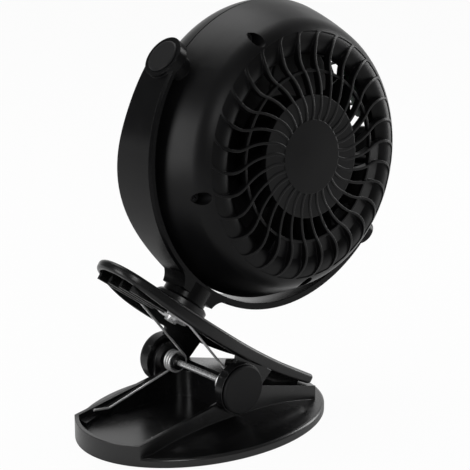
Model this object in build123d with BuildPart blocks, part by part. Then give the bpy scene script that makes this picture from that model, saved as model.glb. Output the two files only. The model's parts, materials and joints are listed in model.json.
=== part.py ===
from build123d import *
from math import atan2, copysign, cos, degrees, pi, radians, sin, sqrt
import os

# Clip fan: a round fan head in a swivelling yoke, carried by a sprung clip whose
# lower jaw is also an oval foot. Millimetres. X runs from the clip's handles to
# its jaw tip, +Z is up, and the origin is the middle of the oval foot's underside.

os.makedirs("parts", exist_ok=True)

# ---------------------------------------------------------------- driving sizes
# foot and lower jaw
foot_length = 133.0
foot_width = 100.0
rim_height = 4.9
rim_round = 1.6
shoulder_length = 96.0
shoulder_width = 44.0
shoulder_height = 10.8
dish_length = 115.0
dish_width = 73.0
dish_height = 6.7
pad_proud = 0.6
pad_thickness = 3.2
pad_margin = 3.2
floor_thickness = 2.2
body_width = 49.8
body_wall = 2.0
handle_wall_height = 10.5
ear_wall_height = 18.6
trough_end_x = 7.0
trough_corner = 9.0
jaw_front_x = 52.0
jaw_front_height = 11.6
jaw_back_height = 23.2
jaw_skin = 2.4
ledge_length = 16.0
ledge_width = 6.0
ledge_height = 8.6
plateau_radius = 26.0
plateau_rise = 1.0

# axle, ears and springs
axle_x = -1.0
axle_z = 25.2
axle_radius = 1.5
axle_head_radius = 3.0
axle_head_thickness = 0.9
ear_radius = 9.4
mandrel_radius = 3.6
mandrel_length = 7.4
wire_radius = 0.6
coil_radius = 4.85
coil_pitch = 1.7
coil_full_turns = 3
coil_room = 1.8
leg_bend = 3.0
lower_leg_length = 41.0
lower_hook_length = 9.0
lower_leg_angle = 194.9
lower_hook_angle = 172.0
far_leg_length = 47.0
upper_leg_angle = 128.7
near_leg_length = 38.0
near_hook_length = 16.0
near_hook_angle = 142.8

# lever (upper jaw and handle)
lever_slope = 35.7
handle_reach = 81.5
jaw_reach = 48.8
lever_rise = 24.25
lever_sag = 4.6
handle_depth = 4.6
middle_depth = 6.8
tip_depth = 4.85
lever_half_width = 29.2
jaw_half_width = 25.0
lever_wall = 2.2
lever_crown = 1.8
jaw_corner = 4.0
nose_end_u = -72.3
nose_end_half = 15.8
waist_u = -12.0
flange_inner = 25.3
flange_front = 15.5
boss_radius = 12.4
boss_outer = 30.2
cap_radius = 11.7
cap_outer = 32.2
cap_edge = 0.8
cap_plug_radius = 10.2
cap_plug_wall = 1.6
cap_plug_length = 1.1
notch_radius = 8.6
rib_count = 4
rib_spacing = 8.0
rib_thickness = 1.2
rib_depth = 2.4
rib_middle_u = -57.5
rib_length = 31.0
collar_radius = 13.2
collar_height = 5.6
collar_edge = 1.0

# jaw pads
jaw_pad_length = 17.0
jaw_pad_width = 38.0
lower_pad_thickness = 1.2
jaw_pad_back = 46.5
pad_groove = 0.6
pad_groove_count = 5

# swivel
lean = 40.45
swivel_from_handle = 49.8
head_height = 89.2
neck_radius = 10.8
stub_radius = 4.0
swivel_washer_radius = 7.5
swivel_washer_thickness = 1.0
swivel_screw_radius = 1.5
swivel_screw_length = 8.0
swivel_screw_head_radius = 3.0
swivel_screw_head = 1.8
swivel_seat = 3.1

# yoke
yoke_turn = -2.2
yoke_inner_radius = 77.2
yoke_thickness = 3.2
yoke_bevel = 1.1
yoke_lift = 4.0
yoke_back_edge = 9.15
yoke_end_front = 7.2
yoke_mid_front = 16.4
yoke_foot_front = 6.6
flare_half_width = 17.0
right_taper_start = 15.0
right_back_edge = 4.5
cup_radius = 10.2
right_cup_radius = 6.6
cup_inner = 76.6
cup_outer = 81.3
cup_floor = 78.0
cup_seat = 79.8
pivot_cap_radius = 7.96
right_cap_radius = 5.4
pivot_cap_outer = 82.1
pivot_shoulder_radius = 3.0
pivot_head_radius = 4.2
pivot_head_thickness = 1.6
pivot_thread_radius = 1.5
pivot_thread_length = 7.0
washer_thickness = 0.3
washer_radius = 6.2

# head shells
head_tilt = 3.42
head_radius = 72.1
seam_depth = -1.7
shell_wall = 2.0
face_depth = 30.2
rear_side_radius = 69.2
rear_side_depth = 7.0
rear_shoulder_radius = 64.4
rear_shoulder_depth = 18.7
rear_face_radius = 48.5
rear_face_depth = 29.2
screw_ring_radius = 62.0
screw_upper_angle = 63.6
screw_lower_angle = 40.3
screw_recess_radius = 2.95
screw_recess_floor = 14.0
screw_column_radius = 3.2
shell_screw_radius = 1.5
shell_screw_head_radius = 2.5
shell_screw_head = 2.0
shell_screw_end = -8.0
pivot_boss_radius = 6.5
pivot_boss_root = 65.0
pivot_boss_end = 76.2
seam_gap_width = 0.35
seam_gap_depth = 0.5

# rear grille
grille_count = 30
grille_first_angle = 1.7
grille_rib = 1.3
grille_rib_depth = 3.4
grille_radius = 58.3
grille_corner = 4.2
hub_radius = 29.0
groove_inner_radius = 17.5
groove_middle_radius = 24.0
rib_bend_radius = 35.0
rib_turn_radius = 41.5
groove_depth = 0.4
ring_radius = 40.2
ring_width = 1.3
ring_top = 28.6
ring_depth = 2.0
panel_outer_depth = 24.9
panel_crown_radius = 54.0
panel_crown_depth = 26.9
panel_inner_depth = 25.9
panel_wall = 1.6
throat_radius = 48.8
throat_end = 20.5
throat_round = 1.2
closed_first_angle = 50.0
closed_last_angle = 172.0
closed_inner_depth = 27.4
closed_wall = 1.2
housing_radius = 27.2
housing_wall = 1.6
housing_end = 8.0

# front guard
guard_depth = 23.5
guard_bulge_radius = 71.5
guard_bulge_depth = 5.8
guard_shoulder_radius = 69.4
guard_shoulder_depth = 11.3
guard_face_radius = 52.0
guard_face_depth = 21.7
guard_wall = 2.0
guard_count = 36
guard_bar = 1.5
guard_side_radius = 63.5
guard_slot_start = 1.3
guard_slot_inner = 66.0
guard_slot_last_angle = 50.0
guard_slot_count = 5
guard_ring_radius = 43.0
guard_ring_width = 2.0
guard_disc_radius = 21.0
guard_twist = 26.0
badge_radius = 16.5
badge_thickness = 1.4

# motor and impeller
motor_radius = 13.5
motor_front = 7.0
motor_length = 19.5
motor_boss_radius = 4.0
motor_boss_length = 1.6
motor_cup_wall = 1.8
motor_cup_depth = 9.0
shaft_radius = 1.0
shaft_back = 22.0
shaft_front = -11.0
retainer_thickness = 1.5
retainer_hole_radius = 6.0
retainer_screw_radius_circle = 18.6
retainer_post_radius = 2.5
retainer_screw_radius = 1.1
retainer_screw_head_radius = 2.1
retainer_screw_head = 1.2
retainer_screw_length = 7.0
retainer_count = 3
impeller_hub_radius = 14.5
impeller_back = 3.0
impeller_front = -11.0
impeller_skin = 1.8
impeller_boss_radius = 3.2
blade_count = 7
blade_tip_radius = 57.0
blade_root_chord = 34.0
blade_tip_chord = 74.0
blade_root_pitch = 24.0
blade_tip_pitch = 14.0
blade_thickness = 1.5
blade_first_angle = 0.0
blade_mid_depth = -4.0

# circuit board with inlet, switch and speed button, in the head's upper right side
board_angle = 30.0
board_radius = 59.4
board_thickness = 1.2
board_length = 27.0
board_width = 12.0
board_middle_depth = 5.0
board_post_radius = 2.0
board_post_offset = 11.3
board_screw_radius = 0.9
board_screw_length = 4.5
board_screw_head_radius = 1.7
board_screw_head = 1.0
inlet_offset = -5.6
inlet_width = 7.6
inlet_height = 2.8
inlet_length = 6.4
inlet_wall = 0.4
switch_offset = 5.4
switch_size = 6.0
switch_height = 2.6
plunger_radius = 1.6
plunger_height = 0.8
button_radius = 3.0
button_top = 71.0
button_travel = 0.8

# clearances
running = 0.05
slip = 0.1
moving = 0.4

# ---------------------------------------------------------------- derived frames
sideways = Vector(0, 1, 0)
axle_point = Vector(axle_x, 0, axle_z)
lever_up = Vector(sin(radians(lever_slope)), 0, cos(radians(lever_slope)))
lever_along = Vector(cos(radians(lever_slope)), 0, -sin(radians(lever_slope)))
lever_side = Plane(origin=axle_point, x_dir=lever_along, z_dir=-sideways)
lever_plan = Plane(origin=axle_point, x_dir=lever_along, z_dir=lever_up)
axle_plane = Plane(origin=axle_point, x_dir=(1, 0, 0), z_dir=-sideways)

span_half = (handle_reach + jaw_reach) / 2
span_middle = (jaw_reach - handle_reach) / 2


def lever_top(u):
    """Height of the lever's top line above the axle, at u along the lever."""
    return lever_rise - lever_sag * (1 - ((u - span_middle) / span_half) ** 2)


swivel_u = swivel_from_handle - handle_reach
swivel_foot = axle_point + lever_along * swivel_u + lever_up * lever_top(swivel_u)
swivel_up = Vector(sin(radians(lean)), 0, cos(radians(lean)))
swivel_along = Vector(cos(radians(lean)), 0, -sin(radians(lean)))
swivel_axis = Axis(swivel_foot, swivel_up)
swivel_plane = Plane(origin=swivel_foot, x_dir=swivel_along, z_dir=swivel_up)

head_centre = swivel_foot + swivel_up * head_height
pivot_dir = swivel_along * -cos(radians(yoke_turn)) - sideways * sin(radians(yoke_turn))
yoke_back = swivel_up.cross(pivot_dir)
head_back = yoke_back * cos(radians(head_tilt)) + swivel_up * sin(radians(head_tilt))
head_axis = Axis(head_centre, head_back)
head_plane = Plane(origin=head_centre, x_dir=-pivot_dir, z_dir=head_back)
head_section = Plane(origin=head_centre, x_dir=pivot_dir, z_dir=pivot_dir.cross(head_back))
head_up = head_plane.y_dir
yoke_plane = Plane(
    origin=head_centre + swivel_up * yoke_lift, x_dir=-pivot_dir, z_dir=yoke_back
)
yoke_section = Plane(
    origin=yoke_plane.origin, x_dir=pivot_dir, z_dir=pivot_dir.cross(yoke_back)
)
yoke_plan = Plane(origin=head_centre, x_dir=-pivot_dir, z_dir=swivel_up)

handle_x = -foot_length / 2
body_half = body_width / 2
under_height = pad_thickness
floor_top = under_height + floor_thickness
jaw_half = jaw_pad_width / 2


def pivot_face(side, distance):
    """Plane square to the tilt axis, facing out on one side, at a distance from the head's centre."""
    return Plane(origin=head_centre, x_dir=yoke_back, z_dir=pivot_dir * side).offset(distance)


def dial(radius, clock):
    """Point of the head's face at a radius and a clock angle, in degrees from the top."""
    return (radius * sin(radians(clock)), radius * cos(radians(clock)))


def save(piece, name):
    """Label a finished piece and write it."""
    piece.part.label = name
    export_step(piece.part, f"parts/{name}.step")


# ---------------------------------------------------------------- base: foot and lower jaw
foot_a = foot_length / 2
foot_b = foot_width / 2

with BuildPart() as foot_skirt:
    with BuildSketch(Plane.XY.offset(pad_proud)):
        Ellipse(foot_a, foot_b)
    extrude(amount=rim_height - pad_proud)
    fillet(foot_skirt.edges().group_by(Axis.Z)[-1], rim_round)
    with BuildSketch(Plane.XY.offset(rim_height - rim_round)):
        Ellipse(foot_a - rim_round, foot_b - rim_round)
    with BuildSketch(Plane.XY.offset(dish_height)):
        Ellipse(dish_length / 2, dish_width / 2)
    with BuildSketch(Plane.XY.offset(shoulder_height)):
        Ellipse(shoulder_length / 2, shoulder_width / 2)
    loft()

with BuildPart() as body_block:
    with BuildSketch(Plane.XZ) as body_side:
        with BuildLine():
            Polyline(
                (handle_x, under_height),
                (jaw_front_x, under_height),
                (jaw_front_x, jaw_front_height),
                (axle_x + ear_radius, jaw_back_height),
                (axle_x - ear_radius, ear_wall_height),
                (-foot_a + ledge_length / 2, handle_wall_height),
                (handle_x, handle_wall_height),
                close=True,
            )
        make_face()
    extrude(amount=body_half, both=True)
    with BuildSketch():
        Ellipse(foot_a, foot_b)
    extrude(amount=jaw_back_height, mode=Mode.INTERSECT)
    with BuildSketch(axle_plane.offset(body_half)):
        Circle(ear_radius)
        with Locations((0, -ear_radius / 2)):
            Rectangle(2 * ear_radius, ear_radius)
    extrude(amount=-body_width)

with BuildPart() as trough_space:
    with BuildSketch(Plane.XY.offset(floor_top)):
        Ellipse(foot_a - body_wall, foot_b - body_wall)
        with Locations((handle_x / 2 + trough_end_x / 2, 0)):
            Rectangle(trough_end_x - handle_x, body_width - 2 * body_wall, mode=Mode.INTERSECT)
    extrude(amount=axle_z + ear_radius)
    fillet(trough_space.edges().filter_by(Axis.Z).group_by(Axis.X)[-1], trough_corner)
    with BuildSketch(Plane.XY.offset(axle_z - coil_radius - coil_room)):
        with Locations((axle_x, 0)):
            Rectangle(2 * ear_radius, body_width - 2 * body_wall)
    extrude(amount=axle_z)

with BuildPart() as jaw_space:
    with BuildSketch(Plane.XZ):
        with BuildLine():
            Polyline(
                (trough_end_x + jaw_skin, under_height),
                (jaw_front_x - jaw_skin, under_height),
                (jaw_front_x - jaw_skin, jaw_front_height - jaw_skin),
                (trough_end_x + jaw_skin, jaw_back_height - jaw_skin),
                close=True,
            )
        make_face()
    extrude(amount=body_half - jaw_skin, both=True)

with BuildPart() as base:
    add(foot_skirt.part)
    add(body_block.part)
    add(trough_space.part, mode=Mode.SUBTRACT)
    add(jaw_space.part, mode=Mode.SUBTRACT)
    # the floor's handle end is a slightly raised plateau with a round edge
    with BuildSketch(Plane.XY.offset(floor_top)):
        Ellipse(foot_a - body_wall, foot_b - body_wall)
        with Locations((handle_x + plateau_radius / 2, 0)):
            Circle(plateau_radius, mode=Mode.INTERSECT)
        Rectangle(foot_length, body_width - 2 * body_wall, mode=Mode.INTERSECT)
    extrude(amount=plateau_rise)
    # corner ledges that the springs' lower legs rest on
    corner_x = -sqrt(1 - (body_half / foot_b) ** 2) * foot_a + body_wall
    with BuildSketch(Plane.XY.offset(floor_top)):
        for turn in (1, -1):
            with BuildLine():
                Polyline(
                    (corner_x - body_wall / 2, turn * (body_half - body_wall / 2)),
                    (corner_x + ledge_length, turn * (body_half - body_wall / 2)),
                    (corner_x - body_wall / 2, turn * (body_half - body_wall - ledge_width)),
                    close=True,
                )
            make_face()
    extrude(amount=ledge_height - floor_top)
    # spring mandrels inside the ears, and the axle's bore
    for turn in (1, -1):
        with BuildSketch(axle_plane.offset(turn * (body_half - body_wall))):
            Circle(mandrel_radius)
        extrude(amount=-turn * mandrel_length)
    with BuildSketch(axle_plane.offset(body_half)):
        Circle(axle_radius + running)
    extrude(amount=-body_width, mode=Mode.SUBTRACT)
    # the pad's shallow recess below
    with BuildSketch():
        Ellipse(foot_a - pad_margin, foot_b - pad_margin)
    extrude(amount=pad_thickness, mode=Mode.SUBTRACT)
save(base, "base")

with BuildPart() as foot_pad:
    with BuildSketch():
        Ellipse(foot_a - pad_margin - slip, foot_b - pad_margin - slip)
    extrude(amount=pad_thickness)
    chamfer(foot_pad.edges().group_by(Axis.Z)[0], pad_proud / 2)
save(foot_pad, "foot_pad")

# ---------------------------------------------------------------- jaw pads
jaw_angle = degrees(
    atan2(jaw_back_height - jaw_front_height, jaw_front_x - axle_x - ear_radius)
)
jaw_face = Plane(
    origin=(jaw_front_x, 0, jaw_front_height),
    x_dir=(-cos(radians(jaw_angle)), 0, sin(radians(jaw_angle))),
    z_dir=(sin(radians(jaw_angle)), 0, cos(radians(jaw_angle))),
)
pad_start = jaw_front_x - jaw_pad_back
with BuildPart() as lower_jaw_pad:
    with BuildSketch(jaw_face):
        with Locations((pad_start + jaw_pad_length / 2, 0)):
            RectangleRounded(jaw_pad_length, jaw_pad_width, jaw_corner / 2)
    extrude(amount=lower_pad_thickness)
    with BuildSketch(jaw_face.offset(lower_pad_thickness)):
        with Locations((pad_start + jaw_pad_length / 2, 0)):
            with GridLocations(jaw_pad_length / pad_groove_count, 0, pad_groove_count, 1):
                Rectangle(pad_groove, jaw_pad_width)
    extrude(amount=-pad_groove, mode=Mode.SUBTRACT)
save(lower_jaw_pad, "lower_jaw_pad")

# ---------------------------------------------------------------- axle and its caps
axle_half = boss_outer - slip
with BuildPart() as axle:
    with BuildSketch(axle_plane.offset(-axle_half)):
        Circle(axle_radius)
    extrude(amount=2 * axle_half)
    for turn in (1, -1):
        with BuildSketch(axle_plane.offset(turn * axle_half)):
            Circle(axle_head_radius)
        extrude(amount=-turn * axle_head_thickness)
save(axle, "axle")


def build_axle_cap(turn):
    """Round cap over one end of the axle: turn is 1 on the near side and -1 on the far side."""
    with BuildPart() as cap:
        with BuildSketch(axle_plane.offset(turn * boss_outer)):
            Circle(cap_radius)
        extrude(amount=turn * (cap_outer - boss_outer))
        fillet(cap.edges().filter_by(GeomType.CIRCLE), cap_edge)
        with BuildSketch(axle_plane.offset(turn * boss_outer)):
            Circle(cap_plug_radius)
            Circle(cap_plug_radius - cap_plug_wall, mode=Mode.SUBTRACT)
        extrude(amount=-turn * cap_plug_length)
    return cap


near_axle_cap = build_axle_cap(1)
save(near_axle_cap, "near_axle_cap")
far_axle_cap = build_axle_cap(-1)
save(far_axle_cap, "far_axle_cap")

# ---------------------------------------------------------------- lever
bottom_middle = lever_rise - lever_sag - middle_depth


with BuildSketch() as lever_shape:
    with BuildLine():
        nose = TangentArc((-handle_reach, 0), (nose_end_u, nose_end_half), tangent=(0, 1))
        flank = TangentArc(nose @ 1, (waist_u, lever_half_width), tangent=nose % 1)
        cheek = TangentArc(flank @ 1, (jaw_reach, jaw_half_width), tangent=flank % 1)
        mirror(nose, about=Plane.XZ)
        mirror(flank, about=Plane.XZ)
        mirror(cheek, about=Plane.XZ)
        Line(cheek @ 1, (jaw_reach, -jaw_half_width))
    make_face()
    fillet(lever_shape.vertices().sort_by(Axis.X)[-2:], jaw_corner)

with BuildSketch() as lever_core_shape:
    add(lever_shape.sketch)
    offset(amount=-lever_wall, mode=Mode.REPLACE)

with BuildPart() as lever_core:
    with BuildSketch(lever_side):
        with BuildLine():
            top = ThreePointArc(
                (-handle_reach, lever_rise - lever_wall),
                (span_middle, lever_rise - lever_sag - lever_wall),
                (jaw_reach, lever_rise - lever_wall),
            )
            Polyline(top @ 1, (jaw_reach, -boss_radius), (-handle_reach, -boss_radius), top @ 0)
        make_face()
    extrude(amount=flange_inner, both=True)
    with BuildSketch(lever_plan):
        add(lever_core_shape.sketch)
    extrude(amount=foot_width, both=True, mode=Mode.INTERSECT)

with BuildPart() as swivel_collar:
    with BuildSketch(swivel_plane.offset(-lever_wall / 2)):
        Circle(collar_radius)
    extrude(amount=collar_height + lever_wall / 2)
    chamfer(swivel_collar.edges().sort_by(swivel_axis)[-1], collar_edge)

with BuildPart() as upper_lever:
    with BuildSketch(lever_side) as lever_profile:
        with BuildLine():
            top = ThreePointArc(
                (-handle_reach, lever_rise),
                (span_middle, lever_rise - lever_sag),
                (jaw_reach, lever_rise),
            )
            tip = Line(top @ 1, (jaw_reach, lever_rise - tip_depth))
            bottom = ThreePointArc(
                tip @ 1,
                (span_middle, bottom_middle),
                (-handle_reach, lever_rise - handle_depth),
            )
            Line(bottom @ 1, top @ 0)
        make_face()
    extrude(amount=lever_half_width * 1.2, both=True)
    with BuildSketch(lever_plan):
        add(lever_shape.sketch)
    extrude(amount=foot_width, both=True, mode=Mode.INTERSECT)
    crown = upper_lever.faces().sort_by(Axis(axle_point, lever_up))[-1]
    fillet(crown.edges(), lever_crown)
    # flanges down to the axle bosses
    with BuildSketch(lever_side) as flange_shape:
        with BuildLine():
            Polyline(
                (-boss_radius, 0),
                (-boss_radius - notch_radius, bottom_middle + lever_wall),
                (flange_front, bottom_middle + lever_wall),
                (boss_radius, 0),
                close=True,
            )
        make_face()
        with Locations((-boss_radius - notch_radius / 2, bottom_middle - notch_radius / 2)):
            Circle(notch_radius, mode=Mode.SUBTRACT)
        Circle(boss_radius)
    extrude(amount=jaw_half_width + slip + lever_wall, both=True)
    add(lever_core.part, mode=Mode.SUBTRACT)
    # axle bosses with a recess for the caps
    for turn in (1, -1):
        with BuildSketch(axle_plane.offset(turn * flange_inner)):
            Circle(boss_radius)
        extrude(amount=turn * (boss_outer - flange_inner))
        with BuildSketch(axle_plane.offset(turn * boss_outer)):
            Circle(cap_plug_radius + slip)
        extrude(amount=-turn * (cap_plug_length + slip), mode=Mode.SUBTRACT)
    with BuildSketch(axle_plane.offset(boss_outer)):
        Circle(axle_radius + running)
    extrude(amount=-2 * boss_outer, mode=Mode.SUBTRACT)
    # stiffening ribs under the handle
    with BuildSketch(lever_plan.offset(bottom_middle + middle_depth - lever_wall - rib_depth)):
        with Locations((rib_middle_u, 0)):
            with GridLocations(0, rib_spacing, 1, rib_count):
                Rectangle(rib_length, rib_thickness)
    extrude(amount=rib_depth + lever_sag / 2 + lever_wall / 2)
    # collar that the yoke turns on, with a flat seat below
    with BuildSketch(swivel_plane.offset(-swivel_seat)):
        Circle(swivel_washer_radius + lever_wall / 2)
    extrude(amount=swivel_seat - lever_wall / 2)
    add(swivel_collar.part)
    with BuildSketch(swivel_plane.offset(collar_height)):
        Circle(stub_radius + running)
    extrude(amount=-collar_height - 2 * lever_wall, mode=Mode.SUBTRACT)
save(upper_lever, "upper_lever")

pad_front = jaw_reach - lever_wall - slip
pad_back = pad_front - jaw_pad_length
pad_middle = (pad_front + pad_back) / 2
pad_ceiling = lever_wall + 2 * slip
with BuildPart() as upper_jaw_pad:
    with BuildSketch(lever_side):
        with BuildLine():
            ceiling = ThreePointArc(
                (pad_back, lever_top(pad_back) - pad_ceiling),
                (pad_middle, lever_top(pad_middle) - pad_ceiling),
                (pad_front, lever_top(pad_front) - pad_ceiling),
            )
            Polyline(
                ceiling @ 1,
                (pad_front, lever_rise - tip_depth),
                (pad_back, lever_top(pad_back) - tip_depth),
                ceiling @ 0,
            )
        make_face()
    extrude(amount=jaw_half, both=True)
    with BuildSketch(lever_plan):
        with Locations((pad_middle, 0)):
            with GridLocations(jaw_pad_length / pad_groove_count, 0, pad_groove_count, 1):
                Rectangle(pad_groove, jaw_pad_width)
    extrude(amount=lever_rise - tip_depth, mode=Mode.SUBTRACT)
save(upper_jaw_pad, "upper_jaw_pad")

# ---------------------------------------------------------------- torsion springs


def biarc(start, start_dir, end, end_dir):
    """Two tangent arcs from start to end with the given directions at both ends."""
    chord = end - start
    both = chord.dot(start_dir + end_dir)
    square = 2 * (1 - start_dir.dot(end_dir))
    reach = (sqrt(both * both + square * chord.dot(chord)) - both) / square
    first = start + start_dir * reach
    last = end - end_dir * reach
    middle = (first + last) * 0.5
    TangentArc(start, middle, tangent=start_dir)
    TangentArc(middle, end, tangent=(last - first).normalized())


def heading(angle):
    """Direction in the clip's side view, in degrees up from the jaw's way."""
    return Vector(cos(radians(angle)), 0, sin(radians(angle)))


def coil_point(angle, across):
    """Point of the coil's centre line."""
    return axle_point + heading(angle) * coil_radius + sideways * across


lower_start = lower_leg_angle - 180 - 90
coil_outer = body_half - body_wall - slip - wire_radius


def build_spring(turn, upper_angle, upper_length, hook_length, hook_angle):
    """One torsion spring: turn is -1 on the near side and 1 on the far side."""
    end_angle = 360 * coil_full_turns + upper_angle - 90
    sweep_angle = end_angle - lower_start
    steps = round(sweep_angle / 90)
    drop = coil_pitch / 360
    climb = coil_pitch / (2 * pi * coil_radius)

    def across(angle):
        return turn * (coil_outer - drop * (angle - lower_start))

    def direction(angle):
        return (heading(angle + 90) - sideways * turn * climb).normalized()

    leg_in = -heading(lower_leg_angle)
    leg_out = heading(upper_angle)
    first = coil_point(lower_start, across(lower_start))
    last = coil_point(end_angle, across(end_angle))
    lower_bend = first - leg_in * lower_leg_length
    lower_tip = lower_bend + heading(lower_hook_angle) * lower_hook_length
    upper_bend = last + leg_out * upper_length
    with BuildPart() as spring:
        with BuildLine() as wire:
            FilletPolyline(lower_tip, lower_bend, first, radius=leg_bend)
            for step in range(steps):
                a = lower_start + sweep_angle * step / steps
                b = lower_start + sweep_angle * (step + 1) / steps
                start_dir = leg_in if step == 0 else direction(a)
                end_dir = leg_out if step == steps - 1 else direction(b)
                biarc(coil_point(a, across(a)), start_dir, coil_point(b, across(b)), end_dir)
            if hook_length:
                upper_tip = upper_bend + heading(hook_angle) * hook_length
                FilletPolyline(last, upper_bend, upper_tip, radius=leg_bend)
            else:
                Line(last, upper_bend)
        path = wire.wires()[0]
        with BuildSketch(Plane(origin=path @ 0, z_dir=path % 0)):
            Circle(wire_radius)
        sweep(path=path)
    return spring, path


def self_gap(line, samples=900):
    """Least gap of a wire to its own earlier turns, measured on points of its centre line."""
    points = [line @ (i / samples) for i in range(samples + 1)]
    step = line.length / samples
    skip = int(pi * coil_radius / step)
    least = min(
        (points[j] - points[i]).length
        for i in range(0, samples - skip, 3)
        for j in range(i + skip, samples + 1, 3)
    )
    return least - 2 * wire_radius


near_spring, near_wire = build_spring(
    -1, upper_leg_angle, near_leg_length, near_hook_length, near_hook_angle
)
save(near_spring, "near_spring")
far_spring, far_wire = build_spring(1, upper_leg_angle, far_leg_length, 0, 0)
save(far_spring, "far_spring")
print("near spring least gap to itself", round(self_gap(near_wire), 3))
print("far spring least gap to itself", round(self_gap(far_wire), 3))

# ---------------------------------------------------------------- yoke
yoke_outer_radius = yoke_inner_radius + yoke_thickness
neck_top = head_height + yoke_lift - (yoke_inner_radius + yoke_thickness / 2)
neck_gap = collar_height + slip
strap_low = head_height + yoke_lift - yoke_outer_radius

with BuildPart() as yoke:
    with BuildSketch(yoke_plane.offset(yoke_back_edge)):
        Circle(yoke_outer_radius)
        Circle(yoke_inner_radius, mode=Mode.SUBTRACT)
        with Locations((0, yoke_outer_radius - yoke_lift)):
            Rectangle(3 * yoke_outer_radius, 2 * yoke_outer_radius, mode=Mode.SUBTRACT)
    extrude(amount=-yoke_back_edge - yoke_mid_front - yoke_thickness)
    # the strap's front edge bulges between its foot and its ends
    with BuildSketch(yoke_plan):
        with BuildLine():
            edge = Spline(
                (0, yoke_foot_front),
                (0.25 * yoke_outer_radius, yoke_foot_front + 2.2),
                (0.46 * yoke_outer_radius, yoke_mid_front - 2.6),
                (0.66 * yoke_outer_radius, yoke_mid_front),
                (0.84 * yoke_outer_radius, yoke_mid_front - 2),
                (0.95 * yoke_outer_radius, yoke_mid_front - 5.2),
                (1.03 * yoke_outer_radius, yoke_end_front),
                tangents=[(1, 0), (0.6, -1)],
            )
            Polyline(
                edge @ 1,
                (1.03 * yoke_outer_radius, -yoke_back_edge),
                (0, -yoke_back_edge),
            )
            mirror(about=Plane.YZ)
        make_face()
    extrude(amount=2 * yoke_outer_radius, both=True, mode=Mode.INTERSECT)
    # the right arm's rear edge draws in towards its smaller cup
    with BuildSketch(yoke_plan):
        with BuildLine():
            Polyline(
                (right_taper_start, -yoke_back_edge),
                (1.03 * yoke_outer_radius, -right_back_edge),
                (1.03 * yoke_outer_radius, -yoke_back_edge),
                (right_taper_start, -yoke_back_edge),
            )
        make_face()
    extrude(amount=2 * yoke_outer_radius, both=True, mode=Mode.SUBTRACT)
    # bevel along the outer rear edge
    with BuildSketch(yoke_section):
        with BuildLine():
            Polyline(
                (yoke_outer_radius - 2 * yoke_bevel, yoke_back_edge + yoke_bevel),
                (yoke_outer_radius + yoke_bevel, yoke_back_edge + yoke_bevel),
                (yoke_outer_radius + yoke_bevel, yoke_back_edge - 2 * yoke_bevel),
                (yoke_outer_radius - 2 * yoke_bevel, yoke_back_edge + yoke_bevel),
            )
        make_face()
    revolve(axis=Axis(yoke_plane.origin, yoke_back), mode=Mode.SUBTRACT)
    # neck below the strap, flaring into it
    with BuildSketch(swivel_plane.offset(neck_gap)):
        Circle(neck_radius)
    extrude(amount=neck_top - neck_gap)
    with BuildSketch(yoke_plane.offset(yoke_back_edge)):
        with BuildLine():
            foot_line = -(head_height + yoke_lift)
            left_rise = ThreePointArc(
                (-neck_radius, foot_line + strap_low - 4.2),
                (-neck_radius - 1.6, foot_line + strap_low - 0.6),
                (-flare_half_width, foot_line + strap_low + 2.4),
            )
            Line(left_rise @ 1, (flare_half_width, foot_line + strap_low + 2.4))
            ThreePointArc(
                (flare_half_width, foot_line + strap_low + 2.4),
                (neck_radius + 1.6, foot_line + strap_low - 0.6),
                (neck_radius, foot_line + strap_low - 4.2),
            )
            Line((neck_radius, foot_line + strap_low - 4.2), left_rise @ 0)
        make_face()
    extrude(amount=-yoke_back_edge - yoke_foot_front)
    # stub that passes through the lever's collar
    with BuildSketch(swivel_plane.offset(neck_gap)):
        Circle(stub_radius)
    extrude(amount=-neck_gap - swivel_seat - moving)
    # screw hole of the stub
    with BuildSketch(swivel_plane.offset(-swivel_seat - moving)):
        Circle(swivel_screw_radius + running)
    extrude(amount=swivel_screw_length + slip, mode=Mode.SUBTRACT)
    # cups at the tilt pivots
    for turn, cup, cap_fit in (
        (1, cup_radius, pivot_cap_radius),
        (-1, right_cup_radius, right_cap_radius),
    ):
        with BuildSketch(pivot_face(turn, cup_inner)):
            Circle(cup)
        extrude(amount=cup_outer - cup_inner)
        with BuildSketch(pivot_face(turn, cup_seat)):
            Circle(cap_fit + running)
        extrude(amount=cup_outer - cup_seat, mode=Mode.SUBTRACT)
        with BuildSketch(pivot_face(turn, cup_floor)):
            Circle(pivot_head_radius + moving)
        extrude(amount=cup_seat - cup_floor, mode=Mode.SUBTRACT)
        with BuildSketch(pivot_face(turn, cup_inner)):
            Circle(pivot_shoulder_radius + running)
        extrude(amount=cup_floor - cup_inner, mode=Mode.SUBTRACT)
save(yoke, "yoke")


def build_pivot_cap(turn, radius):
    """Cap pressed into the yoke's end over the pivot screw."""
    with BuildPart() as cap:
        with BuildSketch(pivot_face(turn, cup_seat)):
            Circle(radius)
        extrude(amount=pivot_cap_outer - cup_seat)
        fillet(cap.edges().sort_by(Axis(head_centre, pivot_dir * turn))[-1], cap_edge)
    return cap


left_pivot_cap = build_pivot_cap(1, pivot_cap_radius)
save(left_pivot_cap, "left_pivot_cap")
right_pivot_cap = build_pivot_cap(-1, right_cap_radius)
save(right_pivot_cap, "right_pivot_cap")

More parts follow.
